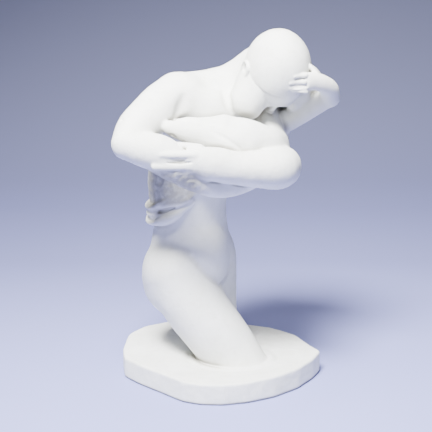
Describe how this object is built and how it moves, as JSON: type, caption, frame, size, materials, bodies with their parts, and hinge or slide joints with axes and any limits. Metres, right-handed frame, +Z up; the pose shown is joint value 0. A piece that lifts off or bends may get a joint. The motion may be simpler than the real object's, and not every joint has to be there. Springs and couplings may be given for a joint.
{
  "type": "plaster mother and child figure",
  "caption": "White plaster statuette of a kneeling mother bowed over the child in her folded arms, cast in one with its rough-edged base.",
  "frame": {"origin": "near the middle of the base's flat underside, in its plane", "axes": "+Z up, -Y towards the side that the picture was taken from, +X to the right there"},
  "size_m": [0.2579, 0.2276, 0.4206],
  "materials": {
    "plaster": "matt cast plaster, faintly mottled, with small pits and chips"
  },
  "bodies": {
    "root": {"mother_and_child_cast": "plaster"}
  },
  "joints": []
}
